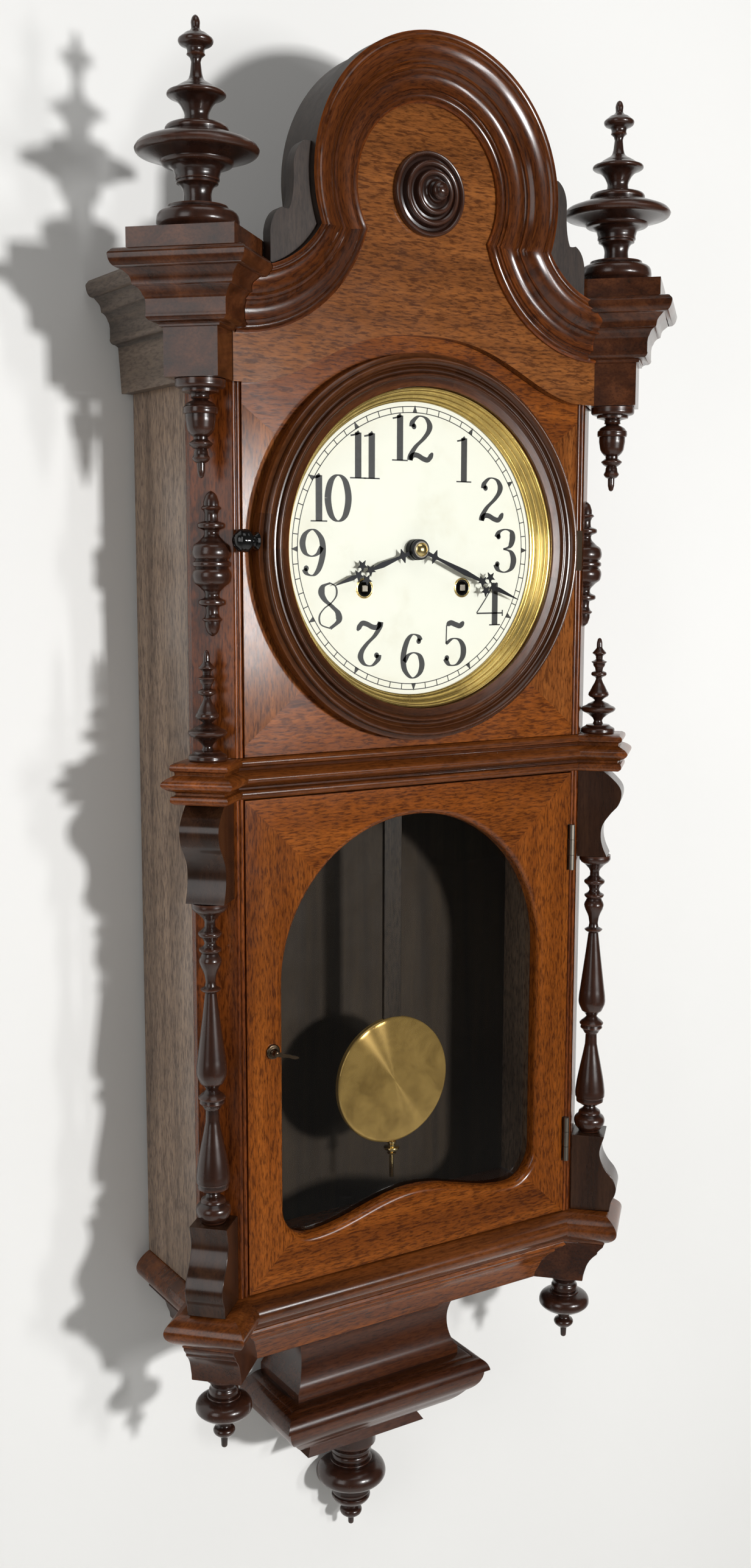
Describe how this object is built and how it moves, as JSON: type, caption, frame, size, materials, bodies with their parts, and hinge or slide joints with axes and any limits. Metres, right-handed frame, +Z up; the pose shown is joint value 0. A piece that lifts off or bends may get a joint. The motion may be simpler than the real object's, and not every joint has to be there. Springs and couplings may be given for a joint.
{
  "type": "regulator clock",
  "caption": "Hanging regulator wall clock with canted case, turned columns and finials, hinged round bezel, glazed door and pendulum.",
  "frame": {"origin": "on the wall plane at the back of the case, directly behind the centre of the dial", "axes": "+Z up, +X to the right as seen by someone facing the dial, the dial facing -Y"},
  "size_m": [0.4394, 0.1642, 1.0671],
  "materials": {
    "veneer": "satin varnished walnut veneer",
    "moulding": "glossy red-brown varnish",
    "turned": "glossy dark brown varnish",
    "panel": "satin varnish",
    "inside": "matt dark stain",
    "brass": "aged polished brass",
    "steel": "dull steel",
    "black_steel": "blued black",
    "knob_black": "gloss black",
    "dial_paint": "matt cream enamel",
    "glass": "clear"
  },
  "bodies": {
    "case": {"back_board": "inside", "base_apron": "veneer", "base_board": "moulding", "belt_moulding": "moulding", "bezel_hinge": "brass", "bottom_bracket": "veneer", "case_hinge_lower": "steel", "case_hinge_upper": "steel", "case_top": "inside", "centre_drop": "turned", "column_l": "turned", "column_r": "turned", "corner_block_l": "turned", "corner_block_r": "turned", "corner_drop_l": "turned", "corner_drop_r": "turned", "corner_post_l": "veneer", "corner_post_r": "veneer", "crest_rosette": "moulding", "dial": "dial_paint", "dial_panel": "veneer", "finial_l": "turned", "finial_r": "turned", "fret_l": "turned", "fret_r": "turned", "gong": "steel", "lower_bracket_l": "turned", "lower_bracket_r": "turned", "movement_frame": "brass", "pediment_board": "veneer", "pediment_moulding": "moulding", "pendant_l": "turned", "pendant_r": "turned", "side_cornice_l": "moulding", "side_cornice_r": "moulding", "side_panel_l": "panel", "side_panel_r": "panel", "small_finial_l": "turned", "small_finial_r": "turned", "split_spindle_l": "turned", "split_spindle_r": "turned", "upper_bracket_l": "turned", "upper_bracket_r": "turned"},
    "bezel": {"bezel_ring": "moulding", "sight_ring": "brass", "bezel_glass": "glass", "bezel_knob": "knob_black"},
    "door": {"door_frame": "veneer", "door_glass": "glass", "door_hinge_upper": "steel", "door_hinge_lower": "steel"},
    "latch": {"door_latch": "brass"},
    "hour": {"hour_hand": "black_steel"},
    "minute": {"minute_hand": "black_steel"},
    "time_wheel": {"time_great_wheel": "brass"},
    "strike_wheel": {"strike_great_wheel": "brass"},
    "escape": {"escape_wheel": "brass"},
    "verge": {"verge": "steel"},
    "pendulum": {"pendulum_rod": "steel", "pendulum_bob": "brass"}
  },
  "joints": [
    {"name": "bezel_swing", "type": "hinge", "parent": "case", "child": "bezel", "pos_m": [0.1285, -0.105, 0], "axis": [0, 0, 1], "range_deg": [0, 95]},
    {"name": "door_swing", "type": "hinge", "parent": "case", "child": "door", "pos_m": [0.1325, -0.1055, -0.3245], "axis": [0, 0, 1], "range_deg": [0, 110]},
    {"name": "latch_turn", "type": "hinge", "parent": "door", "child": "latch", "pos_m": [-0.1136, -0.1033, -0.326], "axis": [0, 1, 0], "range_deg": [-90, 90]},
    {"name": "time_wheel_spin", "type": "hinge", "parent": "case", "child": "time_wheel", "pos_m": [0.0392, -0.044, -0.0254], "axis": [0, 1, 0], "continuous": true},
    {"name": "minute_spin", "type": "hinge", "parent": "case", "child": "minute", "pos_m": [0, -0.1, 0], "axis": [0, 1, 0], "continuous": true},
    {"name": "hour_spin", "type": "hinge", "parent": "case", "child": "hour", "pos_m": [0, -0.1, 0], "axis": [0, 1, 0], "continuous": true},
    {"name": "strike_wheel_spin", "type": "hinge", "parent": "case", "child": "strike_wheel", "pos_m": [-0.0392, -0.044, -0.0254], "axis": [0, 1, 0], "continuous": true},
    {"name": "escape_spin", "type": "hinge", "parent": "case", "child": "escape", "pos_m": [0, -0.064, 0.05], "axis": [0, 1, 0], "continuous": true},
    {"name": "pendulum_swing", "type": "hinge", "parent": "case", "child": "pendulum", "pos_m": [0, -0.071, 0.074], "axis": [0, 1, 0], "range_deg": [-3.5, 3.5]},
    {"name": "verge_rock", "type": "hinge", "parent": "case", "child": "verge", "pos_m": [0, -0.065, 0.074], "axis": [0, 1, 0], "range_deg": [-3.5, 3.5]}
  ],
  "couplings": [
    {"joint": "minute_spin", "follows": "time_wheel_spin", "ratio": 6},
    {"joint": "hour_spin", "follows": "time_wheel_spin", "ratio": 0.5},
    {"joint": "verge_rock", "follows": "pendulum_swing", "ratio": 1}
  ]
}
